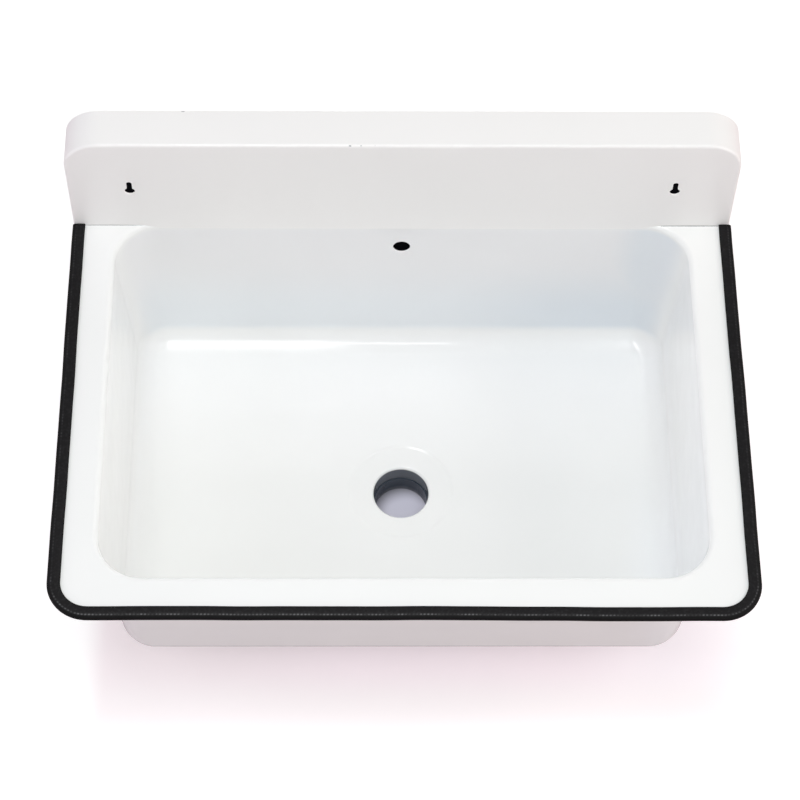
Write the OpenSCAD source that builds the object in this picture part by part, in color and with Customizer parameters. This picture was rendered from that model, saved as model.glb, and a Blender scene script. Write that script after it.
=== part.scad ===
// Wall-hung bucket sink: a pressed bowl with a flat rim, a backsplash tray welded
// above it, a waste spigot below, and a soft trim with a steel core on the rim's edge.
// The origin is midway between the two keyholes, on the front face of the backsplash.
// +X runs to the right, +Y to the wall and +Z up.

/* [Rim] */
// Width of the sheet rim
body_w = 595; // [520:1:760]
// Depth of the rim, from the backsplash face to its front edge
rim_d = 394.5; // [340:0.5:480]
// Thickness of the enamelled steel sheet
sheet = 1.6; // [1.2:0.1:2.4]
// Width of the flat rim between its edge and the bowl's mouth
rim_w = 37.5; // [30:0.5:60]
// Radius of the rim's two front corners
rim_corner_r = 32; // [20:0.5:60]

/* [Bowl] */
// Depth of the bowl, from the rim to its floor
bowl_h = 172; // [110:1:200]
// Radius of the bowl's four upright corners at the mouth
mouth_r = 40; // [34:1:80]
// Radius of the rolled lip between the rim and the walls
lip_r = 5; // [3:0.5:8]
// Radius between the walls and the floor
floor_r = 22; // [10:1:32]
// Lean of the walls from upright, in degrees
wall_lean = 3.5; // [0.5:0.5:4]

/* [Drain] */
// Distance of the drain from the backsplash face
drain_y = 182; // [150:1:230]
// Diameter of the drain hole
drain_d = 51; // [40:0.5:60]
// Length of the neck turned down round the drain hole
neck_l = 18; // [8:0.5:24]
// Radius of the bend at the top of the neck
neck_bend_r = 3; // [2.5:0.5:5]
// Diameter of the sunk ring round the drain
dish_d = 100; // [90:1:130]
// Drop from the floor to the sunk ring
dish_drop = 3; // [1:0.5:5]
// Radius of the two bends that lead down to the sunk ring
dish_bend_r = 6; // [4:0.5:8]

/* [Spigot] */
// Outside diameter of the waste spigot, here flush with the outside of the neck
spigot_d = 54.2; // [53.4:0.2:56]
// Wall of the waste spigot
spigot_wall = 2.6; // [1.6:0.1:3.2]
// Length of the waste spigot
spigot_l = 19; // [10:1:60]

/* [Overflow] */
// Diameter of the overflow hole in the back wall
overflow_d = 16; // [10:0.5:30]
// Drop from the rim to the centre of the overflow hole
overflow_drop = 32.5; // [20:0.5:60]

/* [Backsplash] */
// How far the backsplash stands out past the sheet rim at each side
splash_over = 1.5; // [0:0.1:2.4]
// Height of the backsplash over the rim
splash_h = 121; // [100:1:200]
// Depth of the backsplash, from its face to the wall
splash_d = 38.5; // [20:0.5:60]
// Radius of the backsplash's two top corners
splash_corner_r = 32; // [10:1:60]
// Radius of the bend between the face and the returned edge
splash_bend_r = 2.5; // [2.5:0.5:5]

/* [Keyholes] */
// Distance between the two keyholes
key_pitch = 487.5; // [400:0.5:500]
// Height of the keyholes' round part over the rim
key_up = 53; // [30:1:70]
// Diameter of the round part, which passes the screw head
key_head_d = 9.5; // [8:0.5:14]
// Width of the slot, which takes the screw shank
key_slot_w = 5; // [4:0.5:7]
// Travel from the round part to the end of the slot
key_travel = 11.3; // [9:0.1:20]

/* [Edge trim] */
// Width of the trim seen from above
trim_w = 11.2; // [9:0.1:16]
// How far the trim stands outside the edge of the sheet
trim_stand = 2.5; // [2:0.1:4]
// Radius of the trim's two outer edges
trim_round_r = 2.6; // [2:0.1:2.8]
// Radius of the trim's two lips
trim_lip_r = 0.9; // [0.5:0.1:1]
// Gap between the sheet and the trim, which the grip ribs cross
grip_gap = 0.5; // [0.3:0.1:0.8]
// Trim left between that gap and the clips
trim_liner = 0.7; // [0.5:0.1:1.2]
// Width of each grip rib
grip_w = 1.2; // [0.8:0.1:1.6]

/* [Trim core] */
// Thickness of the steel clips inside the trim
clip_t = 0.5; // [0.3:0.1:0.6]
// Width of each clip along the trim
clip_w = 2.2; // [1.6:0.1:2.6]
// Distance from one clip to the next
clip_pitch = 3.1; // [2.8:0.1:5]
// Trim left round the clips, on the outside
clip_cover = 0.6; // [0.4:0.1:0.8]
// Trim left past the tips of the clips' legs
tip_cover = 2; // [1.2:0.1:3]

/* [Hidden] */

enamel = [0.95, 0.95, 0.94];
black_trim = [0.1, 0.1, 0.11];
bare_steel = [0.6, 0.61, 0.63];

// Steps to each bend of a section
bend_steps = 8;
// Steps to each bend of a clip, of which there are hundreds
clip_steps = 1;
// Fineness of round holes and corners
$fn = 96;
// How far a cut runs past the face it opens
past = 1;
// Smallest radius left at the corners of the flat floor
least_r = 1;

// The mouth is measured where the walls meet the rolled lip
mouth_half_w = body_w / 2 - rim_w;
mouth_d = rim_d - rim_w;
// Reach of the lip's centre past the walls, to a micron, so that rim and lip end on one line
lip_reach = round(1000 * lip_r / cos(wall_lean)) / 1000;
// Thickness of a leaning wall, measured level
wall_t = sheet / cos(wall_lean);

// The floor fillet is limited by the corner radius left at the foot of the walls
lean_run = (bowl_h - lip_r) * tan(wall_lean);
fillet_r = min(floor_r, mouth_r - lean_run - least_r);
wall_run = (bowl_h - lip_r - fillet_r * (1 - sin(wall_lean))) / cos(wall_lean);
foot_u = mouth_r - wall_run * sin(wall_lean);
fillet_u = foot_u - fillet_r * cos(wall_lean);
fillet_z = fillet_r - bowl_h;

dish_turn = acos(1 - dish_drop / (2 * dish_bend_r));
dish_run = 2 * dish_bend_r * sin(dish_turn);
ring_z = -bowl_h - dish_drop;
neck_z = ring_z - neck_l;
spigot_wall_r = spigot_d / 2 - spigot_wall;

// The trim is built up in layers on both sides of the sheet
trim_mid_z = -sheet / 2;
slot_half_h = sheet / 2 + grip_gap;
clip_half_h = slot_half_h + trim_liner + clip_t;
trim_half_h = clip_half_h + clip_cover;
trim_inner_u = trim_stand - trim_w;
clip_back_u = trim_stand - clip_cover;
clip_tip_u = trim_inner_u + tip_cover;
clip_bend_r = trim_round_r - clip_cover;

// Points of an arc in a section, from angle a0 to a1
function arc(c, r, a0, a1, n = bend_steps) =
    [for (i = [0:n]) let (a = a0 + (a1 - a0) * i / n) c + r * [cos(a), sin(a)]];

// Moves a part from the rim's frame to the frame of the keyholes
module from_rim() translate([0, 0, -key_up]) children();

// Turns a section so that its first axis is level and its second points up
module along_x(l) rotate([90, 0, 90]) linear_extrude(l) children();

// Section of one wall: u outwards from the corner's centre, z up from the rim
module wall_section() {
    lip_c = [mouth_r + lip_reach, -lip_r];
    fillet_c = [fillet_u, fillet_z];
    polygon(concat(
        [[0, -bowl_h]],
        arc(fillet_c, fillet_r, -90, -wall_lean),
        arc(lip_c, lip_r, 180 - wall_lean, 90),
        arc(lip_c, lip_r - sheet, 90, 180 - wall_lean),
        arc(fillet_c, fillet_r + sheet, -wall_lean, -90),
        [[0, -bowl_h - sheet]]));
}

// The back wall stops at the foot of the lip, where the backsplash is welded on
module back_wall_section() {
    fillet_c = [fillet_u, fillet_z];
    polygon(concat(
        [[0, -bowl_h]],
        arc(fillet_c, fillet_r, -90, -wall_lean),
        [[mouth_r, -lip_r], [mouth_r + wall_t, -lip_r]],
        arc(fillet_c, fillet_r + sheet, -wall_lean, -90),
        [[0, -bowl_h - sheet]]));
}

// All that lies below the lip's upper surface, with the rim beyond it
module under_lip_section() {
    lip_c = [mouth_r + lip_reach, -lip_r];
    reach = lip_c[0] + mouth_r;
    polygon(concat(
        [[mouth_r, -lip_r - past]],
        [[mouth_r, -lip_r]],
        arc(lip_c, lip_r, 180 - wall_lean, 90),
        [[reach, 0], [reach, -lip_r - past]]));
}

// Section of the sunk ring and of the neck below it
module drain_section() {
    top_c = [dish_d / 2, -bowl_h - dish_bend_r];
    low_c = [dish_d / 2 - dish_run, ring_z + dish_bend_r];
    neck_c = [drain_d / 2 + neck_bend_r, ring_z - neck_bend_r];
    polygon(concat(
        arc(top_c, dish_bend_r, 90, 90 + dish_turn),
        arc(low_c, dish_bend_r, 270 + dish_turn, 270),
        arc(neck_c, neck_bend_r, 90, 180),
        [[drain_d / 2, neck_z], [drain_d / 2 + sheet, neck_z]],
        arc(neck_c, neck_bend_r - sheet, 180, 90),
        arc(low_c, dish_bend_r + sheet, 270, 270 + dish_turn),
        arc(top_c, dish_bend_r - sheet, 90 + dish_turn, 90)));
}

// Outline of a rectangle from x0 to x1 and y0 to y1 with four round corners
module round_rect(x0, x1, y0, y1, r) {
    for (x = [x0 + r, x1 - r], y = [y0 + r, y1 - r]) translate([x, y]) circle(r);
    translate([x0 + r, y0]) square([x1 - x0 - 2 * r, y1 - y0]);
    translate([x0, y0 + r]) square([x1 - x0, y1 - y0 - 2 * r]);
}

// Flat rim round the mouth, before its back is trimmed off
module rim_plate() {
    half_w = body_w / 2;
    mouth_half = mouth_half_w + lip_reach;
    translate([0, 0, -sheet]) linear_extrude(sheet) difference() {
        round_rect(-half_w, half_w, -rim_d, rim_corner_r + wall_t + past, rim_corner_r);
        round_rect(-mouth_half, mouth_half, -mouth_d - lip_reach, lip_reach, mouth_r + lip_reach);
    }
}

// A quarter of the bowl round one upright corner; side is -1 for left and 1 for right
module corner(side, y, turn) {
    translate([side * (mouth_half_w - mouth_r), y, 0]) rotate([0, 0, turn])
        rotate_extrude(angle = 90) children();
}

// The rim and the two back corners, trimmed level with the back of the backsplash sheet
module rim_and_back_corners() {
    back_y = rim_corner_r + wall_t + past;
    difference() {
        union() {
            rim_plate();
            corner(-1, -mouth_r, 90) wall_section();
            corner(1, -mouth_r, 0) wall_section();
        }
        translate([-body_w / 2 - past, wall_t, -lip_r]) cube([body_w + 2 * past, back_y, lip_r + past]);
    }
}

// The other walls and the floor
module walls_and_floor() {
    flat_w = 2 * (mouth_half_w - mouth_r);
    flat_d = mouth_d - 2 * mouth_r;
    translate([-flat_w / 2, -mouth_r, 0]) along_x(flat_w) back_wall_section();
    translate([flat_w / 2, mouth_r - mouth_d, 0]) rotate([0, 0, 180]) along_x(flat_w) wall_section();
    translate([-flat_w / 2, mouth_r - mouth_d, 0]) rotate([0, 0, 90]) along_x(flat_d) wall_section();
    translate([flat_w / 2, -mouth_r, 0]) rotate([0, 0, -90]) along_x(flat_d) wall_section();
    corner(-1, mouth_r - mouth_d, 180) wall_section();
    corner(1, mouth_r - mouth_d, 270) wall_section();
    translate([-flat_w / 2, mouth_r - mouth_d, -bowl_h - sheet]) cube([flat_w, flat_d, sheet]);
}

module bowl() {
    color(enamel) from_rim() {
        difference() {
            union() {
                rim_and_back_corners();
                walls_and_floor();
            }
            translate([0, -drain_y, -bowl_h - sheet - past]) cylinder(h = sheet + 2 * past, d = dish_d);
            translate([0, -mouth_r, -overflow_drop]) rotate([-90, 0, 0])
                cylinder(h = mouth_r + wall_t + past, d = overflow_d);
        }
        translate([0, -drain_y, 0]) rotate_extrude() drain_section();
    }
}

// Section of the returned edge: u outwards from a corner's centre, v back from the face
module edge_section() {
    bend_u = splash_corner_r - splash_bend_r;
    polygon(concat(
        [[0, 0]],
        arc([bend_u, splash_bend_r], splash_bend_r, -90, 0),
        [[splash_corner_r, splash_d], [splash_corner_r - sheet, splash_d]],
        arc([bend_u, splash_bend_r], splash_bend_r - sheet, 0, -90),
        [[0, sheet]]));
}

// Stands a section of the returned edge upright: u to the right, v to the wall
module edge_run(l) linear_extrude(l) edge_section();

module splash_tray() {
    flat_w = body_w + 2 * splash_over - 2 * splash_corner_r;
    side_h = splash_h - splash_corner_r;
    translate([flat_w / 2, 0, 0]) edge_run(side_h);
    mirror([1, 0, 0]) translate([flat_w / 2, 0, 0]) edge_run(side_h);
    translate([flat_w / 2, 0, side_h]) rotate([0, -90, 0]) edge_run(flat_w);
    for (side = [0, 1]) mirror([side, 0, 0])
        translate([flat_w / 2, 0, side_h]) rotate([-90, 0, 0])
            rotate([0, 0, -90]) rotate_extrude(angle = 90) edge_section();
    translate([-flat_w / 2, 0, 0]) cube([flat_w, sheet, side_h]);
}

// The face runs on down to the foot of the lip between the bowl's two back corners
module splash_tongue() {
    difference() {
        translate([-mouth_half_w, 0, -lip_r]) cube([2 * mouth_half_w, sheet, lip_r]);
        corner(-1, -mouth_r, 90) under_lip_section();
        corner(1, -mouth_r, 0) under_lip_section();
    }
}

module keyhole() {
    rotate([-90, 0, 0]) translate([0, 0, -past]) {
        cylinder(h = sheet + 2 * past, d = key_head_d);
        translate([-key_slot_w / 2, -key_travel, 0]) cube([key_slot_w, key_travel, sheet + 2 * past]);
        translate([0, -key_travel, 0]) cylinder(h = sheet + 2 * past, d = key_slot_w);
    }
}

module backsplash() {
    color(enamel) from_rim() difference() {
        union() {
            splash_tray();
            splash_tongue();
        }
        for (side = [-1, 1]) translate([side * key_pitch / 2, 0, key_up]) keyhole();
    }
}

module waste_spigot() {
    color(bare_steel) from_rim() translate([0, -drain_y, neck_z - spigot_l]) difference() {
        cylinder(h = spigot_l, d = spigot_d);
        translate([0, 0, -past]) cylinder(h = spigot_l + 2 * past, r = spigot_wall_r);
    }
}

// Follows the rim's edge; u is measured outwards from the edge of the sheet
module round_the_rim() {
    side_l = rim_d - rim_corner_r;
    front_l = body_w - 2 * rim_corner_r;
    for (side = [0, 1]) mirror([side, 0, 0]) {
        translate([body_w / 2, 0, 0]) rotate([90, 0, 0]) linear_extrude(side_l) children();
        translate([body_w / 2 - rim_corner_r, -side_l, 0]) rotate([0, 0, -90])
            rotate_extrude(angle = 90) translate([rim_corner_r, 0]) children();
    }
    translate([front_l / 2, -rim_d, 0]) rotate([0, 0, 180]) along_x(front_l) children();
}

// Outline of the trim, with its slot and grip ribs, and the channel for the clips
module trim_section() {
    outer_u = trim_stand - trim_round_r;
    outer_v = trim_half_h - trim_round_r;
    lip_u = trim_inner_u + trim_lip_r;
    lip_v = trim_half_h - trim_lip_r;
    rib_places = [lip_u, (trim_inner_u - grip_w) / 2];
    translate([0, trim_mid_z]) difference() {
        polygon(concat(
            arc([outer_u, outer_v], trim_round_r, 90, 0),
            arc([outer_u, -outer_v], trim_round_r, 0, -90),
            arc([lip_u, -lip_v], trim_lip_r, -90, -180),
            arc([lip_u, lip_v], trim_lip_r, 180, 90)));
        difference() {
            translate([trim_inner_u - past, -slot_half_h]) square([past - trim_inner_u, 2 * slot_half_h]);
            for (u = rib_places, v = [sheet / 2, -slot_half_h])
                translate([u, v]) square([grip_w, grip_gap]);
        }
        clip_outline();
    }
}

// A U that opens towards the bowl, with v measured from the middle of the sheet
module clip_outline() {
    bend_u = clip_back_u - clip_bend_r;
    bend_v = clip_half_h - clip_bend_r;
    inner_r = clip_bend_r - clip_t;
    polygon(concat(
        [[clip_tip_u, clip_half_h]],
        arc([bend_u, bend_v], clip_bend_r, 90, 0, clip_steps),
        arc([bend_u, -bend_v], clip_bend_r, 0, -90, clip_steps),
        [[clip_tip_u, -clip_half_h], [clip_tip_u, clip_t - clip_half_h]],
        arc([bend_u, -bend_v], inner_r, -90, 0, clip_steps),
        arc([bend_u, bend_v], inner_r, 0, 90, clip_steps),
        [[clip_tip_u, clip_half_h - clip_t]]));
}

module clip_section() translate([0, trim_mid_z]) clip_outline();

module edge_trim() {
    color(black_trim) from_rim() round_the_rim() trim_section();
}

module straight_clips(l) {
    count = floor(l / clip_pitch);
    start = (l - (count - 1) * clip_pitch - clip_w) / 2;
    for (i = [0:count - 1]) translate([0, 0, start + i * clip_pitch])
        linear_extrude(clip_w) clip_section();
}

module corner_clips() {
    arc_l = rim_corner_r * PI / 2;
    count = floor(arc_l / clip_pitch);
    step = 90 / count;
    span = step * clip_w / clip_pitch;
    for (i = [0:count - 1]) rotate([0, 0, i * step + (step - span) / 2])
        rotate_extrude(angle = span) translate([rim_corner_r, 0]) clip_section();
}

module trim_core() {
    side_l = rim_d - rim_corner_r;
    front_l = body_w - 2 * rim_corner_r;
    color(bare_steel) from_rim() {
        for (side = [0, 1]) mirror([side, 0, 0]) {
            translate([body_w / 2, 0, 0]) rotate([90, 0, 0]) straight_clips(side_l);
            translate([body_w / 2 - rim_corner_r, -side_l, 0]) rotate([0, 0, -90]) corner_clips();
        }
        translate([front_l / 2, -rim_d, 0]) rotate([0, 0, 180]) rotate([90, 0, 90])
            straight_clips(front_l);
    }
}

bowl();
backsplash();
waste_spigot();
edge_trim();
trim_core();
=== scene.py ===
import math

import bmesh
import bpy
from bpy.props import FloatProperty, FloatVectorProperty, IntProperty, PointerProperty
from bpy.types import Operator, Panel, PropertyGroup
from mathutils import Matrix, Vector


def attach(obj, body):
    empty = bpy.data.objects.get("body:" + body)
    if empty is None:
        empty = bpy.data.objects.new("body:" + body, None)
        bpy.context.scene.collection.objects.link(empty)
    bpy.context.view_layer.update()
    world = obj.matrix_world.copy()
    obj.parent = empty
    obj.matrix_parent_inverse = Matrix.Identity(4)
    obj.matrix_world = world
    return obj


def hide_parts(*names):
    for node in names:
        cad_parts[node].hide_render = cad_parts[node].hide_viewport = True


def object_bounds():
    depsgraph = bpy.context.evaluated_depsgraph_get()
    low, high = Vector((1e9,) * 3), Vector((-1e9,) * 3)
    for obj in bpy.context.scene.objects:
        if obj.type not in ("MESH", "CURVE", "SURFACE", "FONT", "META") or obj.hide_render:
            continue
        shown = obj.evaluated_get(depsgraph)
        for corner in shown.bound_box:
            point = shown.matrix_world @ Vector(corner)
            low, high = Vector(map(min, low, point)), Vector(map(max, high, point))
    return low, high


bl_info = {
    "name": "Bucket Sink",
    "version": (1, 0, 0),
    "blender": (4, 5, 0),
    "location": "View3D > Sidebar > Bucket Sink",
    "description": "Dresses the packed wall-hung bucket sink in enamel and edge trim",
    "category": "Object",
}

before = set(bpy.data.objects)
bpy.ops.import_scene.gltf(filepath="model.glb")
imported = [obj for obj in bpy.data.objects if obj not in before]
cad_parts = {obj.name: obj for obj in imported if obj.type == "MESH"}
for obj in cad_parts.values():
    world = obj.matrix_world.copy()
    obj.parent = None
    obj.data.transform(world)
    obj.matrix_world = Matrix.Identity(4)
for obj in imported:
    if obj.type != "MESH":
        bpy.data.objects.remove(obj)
CAD_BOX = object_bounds()
MM = 0.001


# Sizes and finishes


def length(name, description, millimetres):
    """A length of the sink that a user may change, given here in millimetres."""
    return FloatProperty(name=name, description=description, default=millimetres * MM,
                         unit="LENGTH", precision=5, min=0.0)


def colour(name, description, value):
    return FloatVectorProperty(name=name, description=description, default=value,
                               subtype="COLOR", size=3, min=0.0, max=1.0)


def share(name, description, value):
    return FloatProperty(name=name, description=description, default=value,
                         subtype="FACTOR", min=0.0, max=1.0)


def power(name, description, watts):
    return FloatProperty(name=name, description=description, default=watts, min=0.0, unit="POWER")


class SinkSizes(PropertyGroup):
    """Real sizes of the sink, the same as its construction model's."""

    rim_level: length("Rim Level", "How far the rim lies under the keyholes", 53)
    half_width: length("Half Width", "From the middle to the edge of the sheet", 297.5)
    rim_depth: length("Rim Depth", "From the backsplash face to the front edge", 394.5)
    rim_corner: length("Rim Corner", "Radius of the rim's front corners", 32)
    sheet: length("Sheet", "Thickness of the enamelled steel", 1.6)
    mouth_half: length("Mouth Half Width", "From the middle to the bowl's wall", 260)
    mouth_depth: length("Mouth Depth", "From the backsplash face to the front wall", 357)
    mouth_corner: length("Mouth Corner", "Radius of the bowl's upright corners", 40)
    lip: length("Lip Radius", "Radius of the rolled lip", 5)
    bowl_depth: length("Bowl Depth", "From the rim to the floor", 172)
    floor_bend: length("Floor Bend", "Radius between walls and floor", 22)
    lean: FloatProperty(name="Wall Lean", description="Lean of the walls from upright",
                        default=math.radians(3.5), subtype="ANGLE")
    drain_back: length("Drain Place", "From the backsplash face to the drain", 182)
    drain: length("Drain", "Diameter of the drain hole", 51)
    neck: length("Neck", "Length of the neck round the drain hole", 18)
    neck_bend: length("Neck Bend", "Radius at the top of the neck", 3)
    dish: length("Dish", "Diameter of the sunk ring", 100)
    dish_drop: length("Dish Drop", "From the floor to the sunk ring", 3)
    dish_bend: length("Dish Bend", "Radius of the ring's two bends", 8)
    overflow: length("Overflow", "Diameter of the overflow hole", 16)
    overflow_drop: length("Overflow Drop", "From the rim to the overflow's middle", 32.5)
    splash_half: length("Backsplash Half Width", "From the middle to its side", 299)
    splash_height: length("Backsplash Height", "From the rim to its top", 121)
    splash_depth: length("Backsplash Depth", "From its face to the wall", 38.5)
    splash_corner: length("Backsplash Corner", "Radius of its top corners", 32)
    splash_bend: length("Backsplash Bend", "Radius between face and returned edge", 2.5)
    key_half_pitch: length("Keyhole Place", "From the middle to each keyhole", 243.75)
    key_head: length("Keyhole Head", "Diameter of the round part", 9.5)
    key_slot: length("Keyhole Slot", "Width of the slot", 5)
    key_travel: length("Keyhole Travel", "From the round part to the slot's end", 11.3)
    corner_steps: IntProperty(name="Corner Steps", description="Faces round a corner",
                              default=20, min=4)


class TrimSizes(PropertyGroup):
    """Sizes of the soft trim on the rim's edge."""

    width: length("Width", "Width seen from above", 11.6)
    height: length("Height", "Height of the section", 6.2)
    stand: length("Stand", "How far it stands outside the sheet's edge", 2.9)
    outer_bend: length("Outer Bend", "Radius of its outer edges", 3.05)
    shoulder: length("Shoulder", "From the outside to the line of dots on top", 3.8)
    lip_bend: length("Lip Bend", "Radius of its two lips", 0.9)
    slot: length("Slot", "Height of the slot for the sheet", 2.6)
    pitch: length("Clip Pitch", "Distance between the clips that show through", 3.1)
    swell: length("Swell", "How far each clip presses the trim out at the front", 0.2)
    side_swell: share("Side Swell", "How much of that swell the sides have", 0.55)
    wander: length("Wander", "How far the trim strays sideways", 0.3)
    slip: length("Slip", "How far the whole trim sits to the right", 0.45)
    sag: length("Sag", "How far it has slipped off the front edge, to the right", 0.9)


class SinkFinishes(PropertyGroup):
    """Colours and gloss of the sink's finishes, some of whose colours are painted light and painted
    shade.
    """

    enamel: colour("Enamel", "White enamel of the bowl and rim", (0.947, 0.95, 0.939))
    # Painted light: a whiter colour at the back of the bowl's floor.
    rear_floor_painted_light: colour("Rear Floor Painted Light", "Painted light that whitens the back of the bowl's floor",
                   (0.985, 0.985, 0.982))
    # The next three colours are painted shade on the back wall: darker and bluer, most low on its right.
    back_wall_shade: colour("Back Wall Painted Shade, Low Right", "Painted shade low on the back wall's right half", (0.795, 0.841, 0.886))
    back_wall_left_shade: colour("Back Wall Painted Shade, Left", "Painted shade on the back wall's left half", (0.871, 0.903, 0.930))
    upper: colour("Back Wall Painted Shade, High", "Painted shade high on the back wall", (0.900, 0.897, 0.905))
    floor: colour("Floor Enamel", "Enamel of the bowl's floor", (0.925, 0.928, 0.915))
    # Painted light: a brighter, bluer colour at the bowl's right front.
    right_front_painted_light: colour("Right Front Painted Light", "Painted light at the bowl's right front", (0.975, 0.99, 1.0))
    splash: colour("Backsplash Enamel", "White enamel of the backsplash", (0.965, 0.95, 0.937))
    ground: colour("Ground Coat", "Enamel under the white, bare inside the neck",
                   (0.040, 0.055, 0.078))
    spigot: colour("Spigot Enamel", "Ground coat of the spigot", (0.058, 0.076, 0.103))
    # Painted reflection of the floor: a paler colour at the spigot's lower end.
    spigot_end_light: colour("Spigot End Painted Light", "Painted reflection of the floor at the spigot's lower end", (0.19, 0.195, 0.215))
    trim: colour("Trim", "Soft black trim", (0.0046, 0.0041, 0.0048))
    dust: colour("Dust", "Dust on the trim", (0.05, 0.05, 0.052))
    # Painted highlight: a paler colour on the dots where the clips press through.
    dot_highlight: colour("Trim Dot Highlight", "Where the clips press through", (0.13, 0.13, 0.135))
    steel: colour("Clip Steel", "Bare strip of the clips", (0.5, 0.5, 0.51))
    enamel_gloss: share("Enamel Roughness", "Roughness of the bowl's enamel", 0.09)
    splash_gloss: share("Backsplash Roughness", "Roughness of the backsplash's enamel", 0.33)
    trim_gloss: share("Trim Roughness", "Roughness of the trim", 0.42)
    trim_shine: share("Trim Shine", "How much the trim mirrors, 0.5 being plain plastic", 0.2)


class StageSettings(PropertyGroup):
    """Camera, lights and floor of the studio."""

    focal: FloatProperty(name="Focal Length", description="Camera lens", default=113.685,
                         unit="CAMERA")
    place: FloatVectorProperty(name="Camera Place", description="Where the camera stands",
                               default=(-0.02887, -1.31109, 1.84969), subtype="XYZ",
                               unit="LENGTH")
    pitch: FloatProperty(name="Pitch", description="How far the camera looks down",
                         default=math.radians(59.3770), subtype="ANGLE")
    yaw: FloatProperty(name="Yaw", description="How far it looks to the right",
                       default=math.radians(1.3274), subtype="ANGLE")
    roll: FloatProperty(name="Roll", description="Tilt of the camera",
                        default=math.radians(1.1813), subtype="ANGLE")
    sky: colour("Sky", "Light all round", (0.442, 0.436, 0.437))
    box_power: power("Soft Box", "Power of the box over the sink's front", 6.6)
    box_tint: colour("Soft Box Tint", "Colour of its light", (0.956, 1.0, 0.995))
    side_box_power: power("Right Box", "Power of the box over its right side", 3.13)
    side_box_tint: colour("Right Box Tint", "Colour of its light", (0.907, 1.0, 0.986))
    front_power: power("Front Box", "Power of the high box in front", 5.25)
    front_tint: colour("Front Box Tint", "Colour of its light", (0.824, 0.874, 1.0))
    left_power: power("Left Fill", "Power of the fill on the left", 9.95)
    left_tint: colour("Left Fill Tint", "Colour of its light", (0.900, 0.850, 0.990))
    right_power: power("Right Fill", "Power of the fill on the right", 17.3)
    right_tint: colour("Right Fill Tint", "Colour of its light", (1.0, 0.926, 0.893))
    gleam: FloatProperty(name="Gleam", description="Brightness of what the enamel mirrors",
                         default=5.5, min=0.0)
    paper: colour("Paper", "Floor of the studio", (0.85, 0.755, 0.775))
    floor_gap: length("Floor Gap", "Gap between the spigot and the floor", 0.5)


# Mesh helpers


def arc(centre, radius, start, end, steps):
    """Points (reach, height) of an arc in a section, from start to end in degrees."""
    turns = [math.radians(start + (end - start) * i / steps) for i in range(steps + 1)]
    return [(centre[0] + radius * math.cos(a), centre[1] + radius * math.sin(a)) for a in turns]


def round_stations(half_w, front, back, radius, corner_steps, side_steps):
    """(centre, outward) round a rounded rectangle, anticlockwise from its right side."""
    x, y0, y1 = half_w - radius, front + radius, back - radius
    corners = [Vector((x, y1)), Vector((-x, y1)), Vector((-x, y0)), Vector((x, y0))]
    found = []
    for i, centre in enumerate(corners):
        for k in range(corner_steps + 1):
            a = math.radians(90 * (i + k / corner_steps))
            found.append((centre, Vector((math.cos(a), math.sin(a)))))
        last = found[-1][1]
        for k in range(1, side_steps[i % 2]):
            found.append((centre.lerp(corners[(i + 1) % 4], k / side_steps[i % 2]), last))
    return found


def loop_at(stations, reach, height):
    return [Vector((*(c + d * reach), height)) for c, d in stations]


def mesh_of(name, points, faces):
    mesh = bpy.data.meshes.new(name)
    mesh.from_pydata(points, [], faces)
    mesh.validate()
    return mesh


def loft(name, loops):
    """A closed skin of quads between loops of equally many points; the last meets the first."""
    count = len(loops[0])
    faces = []
    for i in range(len(loops)):
        a, b = i * count, (i + 1) % len(loops) * count
        for k in range(count):
            n = (k + 1) % count
            faces.append((a + k, a + n, b + n, b + k))
    return mesh_of(name, [p for loop in loops for p in loop], faces)


def put_in_scene(name, mesh):
    piece = bpy.data.objects.new(name, mesh)
    bpy.context.scene.collection.objects.link(piece)
    return piece


def face_outwards(mesh):
    bm = bmesh.new()
    bm.from_mesh(mesh)
    bmesh.ops.remove_doubles(bm, verts=bm.verts, dist=1e-7)
    bmesh.ops.recalc_face_normals(bm, faces=bm.faces)
    bm.to_mesh(mesh)
    bm.free()


def cut_level(mesh, place, normal):
    """Cuts off what lies past a plane and closes the cut."""
    bm = bmesh.new()
    bm.from_mesh(mesh)
    bmesh.ops.bisect_plane(bm, geom=bm.verts[:] + bm.edges[:] + bm.faces[:], dist=1e-7,
                           plane_co=place, plane_no=normal, clear_outer=True)
    rim = [e for e in bm.edges if e.is_boundary]
    made = bmesh.ops.holes_fill(bm, edges=rim, sides=0)["faces"]
    bmesh.ops.triangulate(bm, faces=made)
    bmesh.ops.recalc_face_normals(bm, faces=bm.faces)
    bm.to_mesh(mesh)
    bm.free()


def prism(name, outline, y0, y1):
    """A solid between two upright planes, from an outline of (x, z) points."""
    n = len(outline)
    points = [(x, y, z) for y in (y0, y1) for x, z in outline]
    faces = [tuple(range(n)), tuple(range(2 * n - 1, n - 1, -1))]
    faces += [(i, (i + 1) % n, n + (i + 1) % n, n + i) for i in range(n)]
    mesh = mesh_of(name, points, faces)
    face_outwards(mesh)
    return put_in_scene(name, mesh)


def cut_out(piece, cutters):
    """Cuts the cutters out of a piece and deletes them."""
    for cutter in cutters:
        knife = piece.modifiers.new("cut", "BOOLEAN")
        knife.object, knife.operation, knife.solver = cutter, "DIFFERENCE", "EXACT"
    applied(piece)
    for cutter in cutters:
        bpy.data.objects.remove(cutter)


def applied(piece):
    """Turns the piece with its modifiers into a plain mesh."""
    seen = piece.evaluated_get(bpy.context.evaluated_depsgraph_get())
    mesh = bpy.data.meshes.new_from_object(seen)
    piece.modifiers.clear()
    piece.data = mesh
    mesh.name = piece.name


def shade(mesh, sharp_from=14):
    mesh.shade_smooth()
    mesh.set_sharp_from_angle(angle=math.radians(sharp_from))


def finish_piece(piece, material, slot, *nodes):
    piece.data.materials.clear()
    piece.data.materials.append(material)
    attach(piece, "root")
    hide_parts(*nodes)


# Node helpers


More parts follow.
